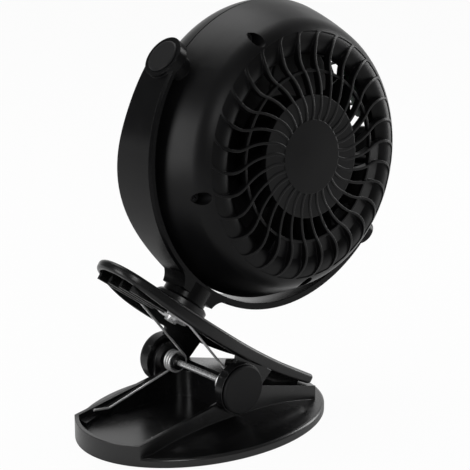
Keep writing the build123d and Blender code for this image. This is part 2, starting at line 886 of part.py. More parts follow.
with BuildPart() as pivot_screws:
    for turn in (1, -1):
        with BuildSketch(pivot_face(turn, pivot_boss_end)):
            Circle(pivot_shoulder_radius)
        extrude(amount=cup_floor + running - pivot_boss_end)
        with BuildSketch(pivot_face(turn, pivot_boss_end)):
            Circle(pivot_thread_radius)
        extrude(amount=-pivot_thread_length)
        with BuildSketch(pivot_face(turn, cup_floor + running)):
            Circle(pivot_head_radius)
        extrude(amount=pivot_head_thickness)
        with BuildSketch(pivot_face(turn, cup_floor + running + pivot_head_thickness)):
            Rectangle(1.4 * pivot_head_radius, pivot_head_thickness / 2)
            Rectangle(pivot_head_thickness / 2, 1.4 * pivot_head_radius)
        extrude(amount=-pivot_head_thickness / 2, mode=Mode.SUBTRACT)
save(pivot_screws, "pivot_screws")

with BuildPart() as pivot_washers:
    for turn in (1, -1):
        with BuildSketch(pivot_face(turn, pivot_boss_end)):
            Circle(washer_radius)
            Circle(pivot_shoulder_radius + slip, mode=Mode.SUBTRACT)
        extrude(amount=washer_thickness)
save(pivot_washers, "pivot_washers")

stub_end = -swivel_seat - moving
with BuildPart() as swivel_washer:
    with BuildSketch(swivel_plane.offset(stub_end)):
        Circle(swivel_washer_radius)
        Circle(swivel_screw_radius + running, mode=Mode.SUBTRACT)
    extrude(amount=-swivel_washer_thickness)
save(swivel_washer, "swivel_washer")

with BuildPart() as swivel_screw:
    with BuildSketch(swivel_plane.offset(stub_end - swivel_washer_thickness)):
        Circle(swivel_screw_head_radius)
    extrude(amount=-swivel_screw_head)
    with BuildSketch(swivel_plane.offset(stub_end - swivel_washer_thickness)):
        Circle(swivel_screw_radius)
    extrude(amount=swivel_screw_length + swivel_washer_thickness)
    with BuildSketch(swivel_plane.offset(stub_end - swivel_washer_thickness - swivel_screw_head)):
        Rectangle(1.4 * swivel_screw_head_radius, swivel_screw_head / 3)
        Rectangle(swivel_screw_head / 3, 1.4 * swivel_screw_head_radius)
    extrude(amount=swivel_screw_head / 2, mode=Mode.SUBTRACT)
save(swivel_screw, "swivel_screw")

# ---------------------------------------------------------------- head shells


def inset_points(outline, wall):
    """Points of an outline drawn in by a wall; each is (radius, depth, outward slope in degrees)."""
    return [
        (r - wall * cos(radians(slope)), d - wall * sin(radians(slope)))
        for r, d, slope in outline
    ]


def shell_edge(outline, wall):
    """Side arc, shoulder arc and face line of a round shell, from its seam to the axis."""
    seam, side, shoulder, face, middle = inset_points(outline, wall)
    slope = radians(outline[2][2])
    ahead = copysign(1, outline[2][1])
    ThreePointArc(seam, side, shoulder)
    TangentArc(shoulder, face, tangent=(-abs(sin(slope)), ahead * cos(slope)))
    Line(face, middle)
    return seam, middle


def shell_band(outline, wall):
    """Closed section of a round shell of one wall, ready to be revolved."""
    outer_seam, outer_middle = shell_edge(outline, 0)
    inner_seam, inner_middle = shell_edge(outline, wall)
    Line(outer_seam, inner_seam)
    Line(outer_middle, inner_middle)


def shell_core(outline):
    """Closed section of everything inside a round shell's outer surface."""
    outer_seam, outer_middle = shell_edge(outline, 0)
    Polyline(outer_middle, (0, seam_depth), outer_seam)


rear_outline = (
    (head_radius, seam_depth, 0),
    (rear_side_radius, rear_side_depth, 20.5),
    (rear_shoulder_radius, rear_shoulder_depth, 24.6),
    (rear_face_radius, rear_face_depth, 88.8),
    (0, face_depth, 90),
)
guard_outline = (
    (head_radius, seam_depth, 0),
    (guard_bulge_radius, seam_depth - guard_bulge_depth, -11.0),
    (guard_shoulder_radius, seam_depth - guard_shoulder_depth, -28.4),
    (guard_face_radius, seam_depth - guard_face_depth, -89.0),
    (0, seam_depth - guard_depth, -90),
)


def pocket_side(stations, shift, rib):
    """One side of an opening along a curved rib: an arc through three stations, then a tangent arc."""
    points = [dial(r, sweep + shift + degrees(rib / 2 / r)) for r, sweep in stations]
    side = ThreePointArc(*points[:3])
    if len(points) > 3:
        TangentArc(points[2], points[3], tangent=side % 1)
    return points[0], points[-1]


def pocket_outline(stations, count, rib):
    """One opening between two curved ribs; each station is (radius, sweep in degrees)."""
    pitch = 360 / count
    near_low, near_high = pocket_side(stations, 0, rib)
    far_low, far_high = pocket_side(stations, pitch, -rib)
    first_radius, first_sweep = stations[0]
    last_radius, last_sweep = stations[-1]
    ThreePointArc(near_low, dial(first_radius, first_sweep + pitch / 2), far_low)
    ThreePointArc(near_high, dial(last_radius, last_sweep + pitch / 2), far_high)


rib_sweep = (
    (hub_radius, 9.2),
    (rib_bend_radius, 6.3),
    (rib_turn_radius, 2.0),
    (grille_radius, 4.3),
)
groove_sweep = (
    (groove_inner_radius, 10.0),
    (groove_middle_radius, 11.8),
    (hub_radius, 9.2),
)

with BuildSketch() as grille_pocket:
    with BuildLine():
        pocket_outline(rib_sweep, grille_count, grille_rib)
    make_face()
    # the outer corner next to the rib's trailing side is well rounded
    outer_corners = grille_pocket.vertices().sort_by(lambda v: -(v.X**2 + v.Y**2))[:2]
    fillet(outer_corners.sort_by(lambda v: v.X)[0], grille_corner)

with BuildSketch() as hub_groove:
    with BuildLine():
        pocket_outline(groove_sweep, grille_count, grille_rib)
    make_face()

with BuildPart() as grille_cage:
    with BuildSketch(head_section):
        with BuildLine():
            shell_band(rear_outline, grille_rib_depth)
        make_face()
    revolve(axis=head_axis)
    with BuildSketch(head_plane):
        Circle(grille_radius + shell_wall / 2)
    extrude(amount=2 * face_depth, mode=Mode.INTERSECT)
    with BuildSketch(head_plane.offset(throat_end)):
        with PolarLocations(0, grille_count, start_angle=-grille_first_angle):
            add(grille_pocket.sketch)
    extrude(amount=face_depth, mode=Mode.SUBTRACT)
    with BuildSketch(head_plane.offset(face_depth)):
        with PolarLocations(0, grille_count, start_angle=-grille_first_angle):
            add(hub_groove.sketch)
    extrude(amount=-groove_depth - 0.3, mode=Mode.SUBTRACT)
    # thin ring that ties the ribs
    with BuildSketch(head_plane.offset(ring_top)):
        Circle(ring_radius + ring_width / 2)
        Circle(ring_radius - ring_width / 2, mode=Mode.SUBTRACT)
    extrude(amount=-ring_depth)

closed_dir = head_plane.x_dir * sin(radians(closed_last_angle)) + head_up * cos(
    radians(closed_last_angle)
)
closed_section = Plane(origin=head_centre, x_dir=closed_dir, z_dir=closed_dir.cross(head_back))

screw_angles = (
    screw_upper_angle,
    180 - screw_lower_angle,
    180 + screw_lower_angle,
    360 - screw_upper_angle,
)
screw_points = [dial(screw_ring_radius, angle) for angle in screw_angles]

board_dir = head_plane.x_dir * sin(radians(board_angle)) + head_up * cos(radians(board_angle))
board_along = head_plane.x_dir * cos(radians(board_angle)) - head_up * sin(radians(board_angle))
board_plane = Plane(
    origin=head_centre + head_back * board_middle_depth, x_dir=board_along, z_dir=board_dir
)
retainer_spots = [
    dial(retainer_screw_radius_circle, 360 / retainer_count * k) for k in range(retainer_count)
]
retainer_back = motor_front
button_bottom = board_radius + board_thickness + switch_height + plunger_height

with BuildPart() as rear_outer:
    with BuildSketch(head_section):
        with BuildLine():
            shell_core(rear_outline)
        make_face()
    revolve(axis=head_axis)

with BuildPart() as shell_fittings:
    # screw cups and columns
    with BuildSketch(head_plane.offset(screw_recess_floor - shell_wall)):
        with Locations(*screw_points):
            Circle(screw_recess_radius + shell_wall / 2)
    extrude(amount=face_depth - screw_recess_floor)
    with BuildSketch(head_plane.offset(seam_depth)):
        with Locations(*screw_points):
            Circle(screw_column_radius)
    extrude(amount=screw_recess_floor - seam_depth)
    # tilt bosses
    for turn in (1, -1):
        with BuildSketch(pivot_face(turn, pivot_boss_root)):
            Circle(pivot_boss_radius)
        extrude(amount=head_radius - shell_wall - pivot_boss_root)
    # posts for the circuit board, and the button's guide
    with BuildSketch(board_plane.offset(board_radius + board_thickness)):
        with Locations((board_post_offset, 0), (-board_post_offset, 0)):
            Circle(board_post_radius)
    extrude(amount=head_radius - board_radius)

with BuildPart() as rear_shell:
    with BuildSketch(head_section):
        with BuildLine():
            shell_band(rear_outline, shell_wall)
        make_face()
    revolve(axis=head_axis)
    with BuildSketch(head_plane):
        Circle(grille_radius + shell_wall / 2)
    extrude(amount=2 * face_depth, mode=Mode.SUBTRACT)
    # sunken panels between the rib ends, running into the intake throat
    with BuildSketch(head_section):
        with BuildLine():
            crown = ThreePointArc(
                (grille_radius + shell_wall / 2, panel_outer_depth),
                (panel_crown_radius, panel_crown_depth),
                (throat_radius, panel_inner_depth),
            )
            Polyline(
                crown @ 1,
                (throat_radius - throat_round, panel_inner_depth - throat_round),
                (throat_radius - throat_round, throat_end),
                (throat_radius - throat_round + panel_wall, throat_end),
                (throat_radius - throat_round + panel_wall, panel_inner_depth - throat_round - panel_wall),
            )
            ThreePointArc(
                (throat_radius - throat_round + panel_wall, panel_inner_depth - throat_round - panel_wall),
                (panel_crown_radius, panel_crown_depth - panel_wall),
                (grille_radius + shell_wall / 2, panel_outer_depth - panel_wall),
            )
            Line((grille_radius + shell_wall / 2, panel_outer_depth - panel_wall), crown @ 0)
        make_face()
    revolve(axis=head_axis)
    # the grille is closed between the ring and the throat along one sector
    with BuildSketch(closed_section):
        with BuildLine():
            Polyline(
                (throat_radius, panel_inner_depth),
                (ring_radius, closed_inner_depth),
                (ring_radius, closed_inner_depth - closed_wall),
                (throat_radius, panel_inner_depth - closed_wall),
                (throat_radius, panel_inner_depth),
            )
        make_face()
    revolve(axis=head_axis, revolution_arc=closed_last_angle - closed_first_angle)
    add(grille_cage.part)
    add(shell_fittings.part)
    # housing wall round the motor, from the hub forward
    with BuildSketch(head_plane.offset(face_depth - grille_rib_depth + slip)):
        Circle(housing_radius)
        Circle(housing_radius - housing_wall, mode=Mode.SUBTRACT)
    extrude(amount=housing_end - face_depth + grille_rib_depth - slip)
    # motor cup and the retainer's posts behind the hub
    with BuildSketch(head_plane.offset(face_depth - grille_rib_depth + slip)):
        Circle(motor_radius + running + motor_cup_wall)
        Circle(motor_radius + running, mode=Mode.SUBTRACT)
    extrude(amount=-motor_cup_depth)
    with BuildSketch(head_plane.offset(retainer_back)):
        with Locations(*retainer_spots):
            Circle(retainer_post_radius)
    extrude(amount=face_depth - grille_rib_depth - retainer_back + slip)
    # nothing stands out of the outer surface but the tilt bosses
    add(rear_outer.part, mode=Mode.INTERSECT)
    # shadow gap along the seam
    with BuildSketch(head_plane.offset(seam_depth)):
        Circle(head_radius + seam_gap_depth)
        Circle(head_radius - seam_gap_depth, mode=Mode.SUBTRACT)
    extrude(amount=seam_gap_width, mode=Mode.SUBTRACT)
    for turn in (1, -1):
        with BuildSketch(pivot_face(turn, pivot_boss_root)):
            Circle(pivot_boss_radius)
        extrude(amount=pivot_boss_end - pivot_boss_root)
        with BuildSketch(pivot_face(turn, pivot_boss_end)):
            Circle(pivot_thread_radius + running)
        extrude(amount=-pivot_thread_length - slip, mode=Mode.SUBTRACT)
    # screw recesses and holes
    with BuildSketch(head_plane.offset(screw_recess_floor)):
        with Locations(*screw_points):
            Circle(screw_recess_radius)
    extrude(amount=face_depth, mode=Mode.SUBTRACT)
    with BuildSketch(head_plane.offset(seam_depth)):
        with Locations(*screw_points):
            Circle(shell_screw_radius + running)
    extrude(amount=face_depth, mode=Mode.SUBTRACT)
    with BuildSketch(head_plane.offset(retainer_back)):
        with Locations(*retainer_spots):
            Circle(retainer_screw_radius + running)
    extrude(amount=retainer_screw_length, mode=Mode.SUBTRACT)
    # board screws, inlet window and button hole
    with BuildSketch(board_plane.offset(board_radius)):
        with Locations((board_post_offset, 0), (-board_post_offset, 0)):
            Circle(board_screw_radius + running)
    extrude(amount=board_screw_length, mode=Mode.SUBTRACT)
    with BuildSketch(board_plane.offset(board_radius + board_thickness)):
        with Locations((inlet_offset, 0)):
            RectangleRounded(inlet_width + 2 * slip, inlet_height + 2 * slip, inlet_wall)
    extrude(amount=head_radius, mode=Mode.SUBTRACT)
    with BuildSketch(board_plane.offset(board_radius + board_thickness)):
        with Locations((switch_offset, 0)):
            Circle(button_radius + slip)
    extrude(amount=head_radius, mode=Mode.SUBTRACT)
save(rear_shell, "rear_shell")

with BuildPart() as shell_screws:
    with BuildSketch(head_plane.offset(screw_recess_floor)):
        with Locations(*screw_points):
            Circle(shell_screw_head_radius)
    extrude(amount=shell_screw_head)
    with BuildSketch(head_plane.offset(screw_recess_floor)):
        with Locations(*screw_points):
            Circle(shell_screw_radius)
    extrude(amount=shell_screw_end - screw_recess_floor)
    with BuildSketch(head_plane.offset(screw_recess_floor + shell_screw_head)):
        with Locations(*screw_points):
            Rectangle(1.3 * shell_screw_head_radius, shell_screw_head / 3)
            Rectangle(shell_screw_head / 3, 1.3 * shell_screw_head_radius)
    extrude(amount=-shell_screw_head / 2, mode=Mode.SUBTRACT)
save(shell_screws, "shell_screws")


guard_outer_sweep = [
    (guard_ring_radius + guard_ring_width / 2, 0.4 * guard_twist),
    (0.5 * (guard_ring_radius + guard_side_radius), 0.14 * guard_twist),
    (guard_side_radius, 0.0),
]
guard_inner_sweep = [
    (guard_disc_radius, guard_twist),
    (0.5 * (guard_disc_radius + guard_ring_radius), 0.68 * guard_twist),
    (guard_ring_radius - guard_ring_width / 2, 0.43 * guard_twist),
]
with BuildSketch() as guard_pockets:
    for stations in (guard_outer_sweep, guard_inner_sweep):
        with BuildLine():
            pocket_outline(stations, guard_count, guard_bar)
        make_face()

with BuildPart() as guard_outer:
    with BuildSketch(head_section):
        with BuildLine():
            shell_core(guard_outline)
        make_face()
    revolve(axis=head_axis)

with BuildPart() as front_guard:
    with BuildSketch(head_section):
        with BuildLine():
            shell_band(guard_outline, guard_wall)
        make_face()
    revolve(axis=head_axis)
    with BuildSketch(head_plane.offset(seam_depth - 1)):
        with PolarLocations(0, guard_count):
            add(guard_pockets.sketch)
    extrude(amount=-guard_depth * 1.5, mode=Mode.SUBTRACT)
    # a few slots wrap round to the rim in the upper right
    side_slot = 2 * pi * head_radius / guard_count - guard_bar
    with BuildSketch(head_plane.offset(seam_depth - guard_slot_start)):
        with PolarLocations(
            head_radius,
            guard_slot_count,
            start_angle=90 - guard_slot_last_angle + 180 / guard_count,
            angular_range=360 / guard_count * guard_slot_count,
        ):
            Rectangle(2 * (head_radius - guard_slot_inner), side_slot)
    extrude(amount=-guard_depth, mode=Mode.SUBTRACT)
    with BuildSketch(head_plane.offset(seam_depth)):
        with Locations(*screw_points):
            Circle(screw_column_radius)
        for angle in screw_angles:
            with PolarLocations((screw_ring_radius + head_radius) / 2, 1, start_angle=90 - angle):
                Rectangle(head_radius - screw_ring_radius, guard_bar)
    extrude(amount=-guard_depth)
    for turn in (1, -1):
        with BuildSketch(pivot_face(turn, pivot_boss_root)):
            Circle(pivot_boss_radius + guard_bar)
        extrude(amount=head_radius - pivot_boss_root)
    with BuildSketch(head_plane.offset(seam_depth)):
        Circle(2 * head_radius)
    extrude(amount=guard_depth, mode=Mode.SUBTRACT)
    add(guard_outer.part, mode=Mode.INTERSECT)
    for turn in (1, -1):
        with BuildSketch(pivot_face(turn, 0)):
            Circle(pivot_boss_radius + slip)
        extrude(amount=2 * head_radius, mode=Mode.SUBTRACT)
    with BuildSketch(head_plane.offset(seam_depth)):
        with Locations(*screw_points):
            Circle(shell_screw_radius + running)
    extrude(amount=shell_screw_end - seam_depth - slip, mode=Mode.SUBTRACT)
save(front_guard, "front_guard")

guard_front = seam_depth - guard_depth
with BuildPart() as guard_badge:
    with BuildSketch(head_plane.offset(guard_front + 0.4)):
        Circle(badge_radius)
    extrude(amount=-badge_thickness - 0.4)
    fillet(guard_badge.edges().sort_by(head_axis)[0], badge_thickness / 2)
    add(guard_outer.part, mode=Mode.SUBTRACT)
save(guard_badge, "guard_badge")

# ---------------------------------------------------------------- motor and impeller
with BuildPart() as motor_can:
    with BuildSketch(head_plane.offset(motor_front)):
        Circle(motor_radius)
    extrude(amount=motor_length)
    fillet(motor_can.edges(), motor_boss_length / 2)
    with BuildSketch(head_plane.offset(motor_front)):
        Circle(motor_boss_radius)
    extrude(amount=-motor_boss_length)
    with BuildSketch(head_plane.offset(motor_front - motor_boss_length)):
        Circle(shaft_radius + running)
    extrude(amount=shaft_back - motor_front + motor_boss_length + slip, mode=Mode.SUBTRACT)
save(motor_can, "motor_can")

retainer_front = retainer_back - retainer_thickness
with BuildPart() as motor_retainer:
    with BuildSketch(head_plane.offset(retainer_back)):
        Circle(motor_radius + motor_cup_wall)
        with Locations(*retainer_spots):
            Circle(retainer_post_radius + retainer_thickness)
        Circle(retainer_hole_radius, mode=Mode.SUBTRACT)
        with Locations(*retainer_spots):
            Circle(retainer_screw_radius + running, mode=Mode.SUBTRACT)
    extrude(amount=-retainer_thickness)
save(motor_retainer, "motor_retainer")

with BuildPart() as motor_screws:
    with BuildSketch(head_plane.offset(retainer_front)):
        with Locations(*retainer_spots):
            Circle(retainer_screw_head_radius)
    extrude(amount=-retainer_screw_head)
    with BuildSketch(head_plane.offset(retainer_front)):
        with Locations(*retainer_spots):
            Circle(retainer_screw_radius)
    extrude(amount=retainer_thickness + retainer_screw_length - slip)
save(motor_screws, "motor_screws")

with BuildPart() as motor_shaft:
    with BuildSketch(head_plane.offset(shaft_back)):
        Circle(shaft_radius)
    extrude(amount=shaft_front - shaft_back)
save(motor_shaft, "motor_shaft")


def blade_plane(radius):
    """Plane square to a blade's length, at a radius from the fan's axis."""
    out = head_up
    return Plane(
        origin=head_centre + out * radius + head_back * blade_mid_depth,
        x_dir=head_plane.x_dir,
        z_dir=out,
    )


with BuildPart() as blade:
    for radius, chord, pitch in (
        (impeller_hub_radius - impeller_skin / 2, blade_root_chord, blade_root_pitch),
        (
            (impeller_hub_radius + blade_tip_radius) / 2,
            (blade_root_chord + blade_tip_chord) / 2 + 2,
            (blade_root_pitch + blade_tip_pitch) / 2 - 2,
        ),
        (blade_tip_radius, blade_tip_chord, blade_tip_pitch),
    ):
        with BuildSketch(blade_plane(radius)):
            RectangleRounded(chord, blade_thickness, blade_thickness * 0.49, rotation=pitch)
    loft()
    with BuildSketch(head_plane.offset(face_depth)):
        Circle(blade_tip_radius)
    extrude(amount=-2 * face_depth, mode=Mode.INTERSECT)

with BuildPart() as impeller:
    with BuildSketch(head_plane.offset(impeller_front)):
        Circle(impeller_hub_radius)
    extrude(amount=impeller_back - impeller_front)
    fillet(impeller.edges().sort_by(head_axis)[0], impeller_skin)
    with BuildSketch(head_plane.offset(impeller_front + impeller_skin)):
        Circle(impeller_hub_radius - impeller_skin)
        Circle(impeller_boss_radius, mode=Mode.SUBTRACT)
    extrude(amount=impeller_back - impeller_front, mode=Mode.SUBTRACT)
    for k in range(blade_count):
        add(blade.part.rotate(head_axis, -blade_first_angle - k * 360 / blade_count))
    with BuildSketch(head_plane.offset(impeller_front + impeller_skin)):
        Circle(impeller_hub_radius - impeller_skin)
        Circle(impeller_boss_radius, mode=Mode.SUBTRACT)
    extrude(amount=impeller_back - impeller_front, mode=Mode.SUBTRACT)
    with BuildSketch(head_plane.offset(impeller_back)):
        Circle(shaft_radius + running)
    extrude(amount=shaft_front - impeller_back - slip, mode=Mode.SUBTRACT)
save(impeller, "impeller")

# ---------------------------------------------------------------- board, inlet, switch and button
with BuildPart() as circuit_board:
    with BuildSketch(board_plane.offset(board_radius)):
        RectangleRounded(board_length, board_width, board_thickness)
        with Locations((board_post_offset, 0), (-board_post_offset, 0)):
            Circle(board_screw_radius + running, mode=Mode.SUBTRACT)
    extrude(amount=board_thickness)
save(circuit_board, "circuit_board")

with BuildPart() as board_screws:
    with BuildSketch(board_plane.offset(board_radius)):
        with Locations((board_post_offset, 0), (-board_post_offset, 0)):
            Circle(board_screw_head_radius)
    extrude(amount=-board_screw_head)
    with BuildSketch(board_plane.offset(board_radius)):
        with Locations((board_post_offset, 0), (-board_post_offset, 0)):
            Circle(board_screw_radius)
    extrude(amount=board_screw_length - slip)
save(board_screws, "board_screws")

board_top = board_radius + board_thickness
with BuildPart() as power_inlet:
    with BuildSketch(board_plane.offset(board_top)):
        with Locations((inlet_offset, 0)):
            RectangleRounded(inlet_width, inlet_height, inlet_wall)
    extrude(amount=inlet_length)
    with BuildSketch(board_plane.offset(board_top + inlet_length)):
        with Locations((inlet_offset, 0)):
            Rectangle(inlet_width - 2 * inlet_wall, inlet_height - 2 * inlet_wall)
            Rectangle(inlet_width - 6 * inlet_wall, 2 * inlet_wall, mode=Mode.SUBTRACT)
    extrude(amount=-inlet_length + inlet_wall * 2, mode=Mode.SUBTRACT)
save(power_inlet, "power_inlet")

with BuildPart() as tact_switch:
    with BuildSketch(board_plane.offset(board_top)):
        with Locations((switch_offset, 0)):
            Rectangle(switch_size, switch_size)
    extrude(amount=switch_height)
    with BuildSketch(board_plane.offset(board_top + switch_height)):
        with Locations((switch_offset, 0)):
            Circle(plunger_radius)
    extrude(amount=plunger_height - button_travel - slip + moving / 2)
save(tact_switch, "tact_switch")

with BuildPart() as speed_button:
    with BuildSketch(board_plane.offset(button_bottom)):
        with Locations((switch_offset, 0)):
            Circle(button_radius)
    extrude(amount=button_top - button_bottom)
    fillet(speed_button.edges().sort_by(Axis(board_plane.origin, board_dir))[-1], cap_edge)
save(speed_button, "speed_button")

print("joint axle", [round(v, 3) for v in axle_point])
print("swivel foot", [round(v, 3) for v in swivel_foot], "axis", [round(v, 6) for v in swivel_up])
print("head centre", [round(v, 3) for v in head_centre])
print("pivot axis", [round(v, 6) for v in pivot_dir], "head axis", [round(v, 6) for v in head_back])
print("board axis", [round(v, 6) for v in board_dir])
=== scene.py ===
import json
from math import cos, pi, radians, sin, tan

import bmesh
import bpy
from mathutils import Matrix, Vector


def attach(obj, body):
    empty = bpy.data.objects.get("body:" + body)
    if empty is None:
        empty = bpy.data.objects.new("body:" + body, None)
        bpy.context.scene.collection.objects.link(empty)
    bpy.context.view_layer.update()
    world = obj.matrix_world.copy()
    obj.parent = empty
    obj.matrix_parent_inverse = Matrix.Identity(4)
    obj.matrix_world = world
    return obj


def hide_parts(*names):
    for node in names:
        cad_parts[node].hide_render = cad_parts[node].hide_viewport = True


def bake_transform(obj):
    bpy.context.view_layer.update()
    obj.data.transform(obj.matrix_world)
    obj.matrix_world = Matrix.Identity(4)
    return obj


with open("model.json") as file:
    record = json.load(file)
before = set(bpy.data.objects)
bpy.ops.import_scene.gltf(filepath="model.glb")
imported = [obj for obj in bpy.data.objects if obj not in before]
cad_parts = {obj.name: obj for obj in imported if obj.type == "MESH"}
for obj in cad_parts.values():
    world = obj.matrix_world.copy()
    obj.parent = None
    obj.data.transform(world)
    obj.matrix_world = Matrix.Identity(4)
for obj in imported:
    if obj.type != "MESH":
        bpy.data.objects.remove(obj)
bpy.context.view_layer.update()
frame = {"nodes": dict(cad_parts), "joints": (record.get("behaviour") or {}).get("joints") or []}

bl_info = {
    "name": "Clip Fan",
    "version": (1, 0, 0),
    "blender": (4, 5, 0),
    "location": "View3D > Sidebar > Clip Fan",
    "description": "Dresses a small clip fan with its finishes, springs and studio",
    "category": "Object",
}

joints = {joint["name"]: joint for joint in frame["joints"]}

# ---------------------------------------------------------------- fixed values

# Merging and shading of the CAD meshes. Lengths here and below are in metres.
MERGE_GAP = 2e-6
SLIVER_LENGTH = 1e-6
SHARP_TURN = radians(28)
NORMAL_WEIGHT = 60

# Springs: the ways are in the side view. The coil makes these whole turns, and the part of
# a turn between its two legs.
WHOLE_TURNS = radians(1080)
LEG_BEND = 0.003
LOWER_HOOK = 0.009
LOWER_HOOK_WAY = radians(172.0)
UPPER_HOOK = 0.016
UPPER_HOOK_WAY = radians(142.8)
WIRE_SIDES = 12
WIRE_SHARP_TURN = radians(50)
WIRE_MERGE_GAP = 1e-6
BEND_STEPS = 6
COIL_STEPS = 110

# Camera: the picture and the focal length in pixels, the sensor in millimetres.
PICTURE_WIDTH = 470
FOCAL_PIXELS = 1721.14
SENSOR_WIDTH = 36
CLIP_START = 0.01

# Studio: the backdrop stands this way from the fan.
BACKDROP_WAY = (0.657, 0.753, 0.1)
FLOOR_REACH = 4.0
FLOOR_COLOUR = (0.86, 0.86, 0.86, 1)
FLOOR_GLOW = 0.96
WHITE = (1, 1, 1, 1)

# Name, place, width, height and power in watts of each soft light.
SOFTBOXES = (
    ("Top softbox", (0.15, 0.35, 0.95), 0.7, 0.5, 3.6),
    ("Left softbox", (-0.95, 0.1, 0.35), 0.35, 0.7, 3.6),
    ("Right softbox", (0.9, -0.15, 0.3), 0.3, 0.7, 3.2),
    ("Front fill", (-0.6, -1.0, 0.8), 0.4, 0.4, 3.0),
)


# ---------------------------------------------------------------- settings


class FanSpringSettings(bpy.types.PropertyGroup):
    wire: bpy.props.FloatProperty(
        name="Wire", description="Diameter of the spring wire",
        default=0.0012, min=0.0005, max=0.003, unit="LENGTH")
    coil: bpy.props.FloatProperty(
        name="Coil radius", description="Radius of the coil at the middle of the wire",
        default=0.00485, min=0.003, max=0.01, unit="LENGTH")
    pitch: bpy.props.FloatProperty(
        name="Pitch", description="Distance between neighbouring turns",
        default=0.0017, min=0.0013, max=0.004, unit="LENGTH")
    outer: bpy.props.FloatProperty(
        name="Outer turn", description="Distance of the outermost turn from the middle of the clip",
        default=0.0222, min=0.01, max=0.03, unit="LENGTH")
    lower_angle: bpy.props.FloatProperty(
        name="Lower leg", description="Way of the lower leg in the side view",
        default=radians(194.9), subtype="ANGLE")
    upper_angle: bpy.props.FloatProperty(
        name="Upper leg", description="Way of the upper leg in the side view",
        default=radians(128.7), subtype="ANGLE")
    lower_length: bpy.props.FloatProperty(
        name="Lower length", description="Straight length of the lower leg",
        default=0.041, unit="LENGTH")
    near_length: bpy.props.FloatProperty(
        name="Near length", description="Length of the near upper leg up to its hook",
        default=0.038, unit="LENGTH")
    far_length: bpy.props.FloatProperty(
        name="Far length", description="Length of the far upper leg, which has no hook",
        default=0.047, unit="LENGTH")


class FanFinishSettings(bpy.types.PropertyGroup):
    shell: bpy.props.FloatVectorProperty(
        name="Moulded black", description="Colour of the semi-gloss mouldings",
        subtype="COLOR", size=3, min=0, max=1, default=(0.0036, 0.0036, 0.0039))
    cap: bpy.props.FloatVectorProperty(
        name="Cap black", description="Colour of the fine matt caps",
        subtype="COLOR", size=3, min=0, max=1, default=(0.0058, 0.0058, 0.0062))
    rubber: bpy.props.FloatVectorProperty(
        name="Rubber", description="Colour of the jaw pads and the foot pad",
        subtype="COLOR", size=3, min=0, max=1, default=(0.012, 0.012, 0.012))
    steel: bpy.props.FloatVectorProperty(
        name="Steel", description="Colour of the springs, the axle and the other bright metal",
        subtype="COLOR", size=3, min=0, max=1, default=(0.95, 0.95, 0.96))
    roughness: bpy.props.FloatProperty(
        name="Shell roughness", description="Roughness of the head's mouldings",
        subtype="FACTOR", default=0.36, min=0, max=1)


class FanStudioSettings(bpy.types.PropertyGroup):
    distance: bpy.props.FloatProperty(
        name="Camera distance", description="Distance of the camera from its target",
        default=0.82239, unit="LENGTH")
    azimuth: bpy.props.FloatProperty(
        name="Azimuth", description="Turn of the camera round the fan",
        default=radians(-41.10), subtype="ANGLE")
    elevation: bpy.props.FloatProperty(
        name="Elevation", description="Height angle of the camera",
        default=radians(16.70), subtype="ANGLE")
    target: bpy.props.FloatVectorProperty(
        name="Target", description="Point in the middle of the picture",
        size=3, subtype="TRANSLATION", default=(0.02125, 0.0, 0.08934))
    focal: bpy.props.FloatProperty(
        name="Focal length", description="Focal length in picture widths",
        default=FOCAL_PIXELS / PICTURE_WIDTH)
    backdrop: bpy.props.FloatProperty(
        name="Backdrop", description="Brightness of the backdrop, where 1 is white",
        subtype="FACTOR", default=1.0, min=0, max=1)
    ambient: bpy.props.FloatProperty(
        name="Ambient", description="Brightness of the studio away from the backdrop",
        subtype="FACTOR", default=0.16, min=0, max=1)


# ---------------------------------------------------------------- shader writing


class Wire:
    """A shader socket that takes part in Python expressions."""

    def __init__(self, writer, socket):
        self.writer = writer
        self.socket = socket

    def _math(self, operation, first, second):
        return self.writer.node("ShaderNodeMath", {"operation": operation}, {0: first, 1: second})

    def __add__(self, other):
        return self._math("ADD", self, other)

    __radd__ = __add__

    def __mul__(self, other):
        return self._math("MULTIPLY", self, other)

    __rmul__ = __mul__

    def __sub__(self, other):
        return self._math("SUBTRACT", self, other)

    def __rsub__(self, other):
        return self._math("SUBTRACT", other, self)

    def above(self, edge, width):
        """0 below an edge, 1 above it, with a soft step of a width."""
        return self.writer.node(
            "ShaderNodeMapRange", {"interpolation_type": "SMOOTHSTEP"},
            {"Value": self, "From Min": edge - width / 2, "From Max": edge + width / 2})


class NodeWriter:
    """Writes a node tree from empty, with one output."""

    def __init__(self, tree, output):
        self.tree = tree
        self.tree.nodes.clear()
        self.output = self.tree.nodes.new(output)

    def node(self, kind, settings=None, sockets=None, out=0):
        """A new node, with its settings made first and then its sockets filled or linked."""
        made = self.tree.nodes.new(kind)
        for key, value in (settings or {}).items():
            setattr(made, key, value)
        for key, value in (sockets or {}).items():
            if isinstance(value, Wire):
                self.tree.links.new(value.socket, made.inputs[key])
            else:
                made.inputs[key].default_value = value
        return Wire(self, made.outputs[out])

    def dot(self, first, second):
        """Dot product of two vectors."""
        return self.node(
            "ShaderNodeVectorMath", {"operation": "DOT_PRODUCT"}, {0: first, 1: second},
            out="Value")

    def show(self, shader):
        """Link the shader that the tree puts out."""
        self.tree.links.new(shader.socket, self.output.inputs["Surface"])


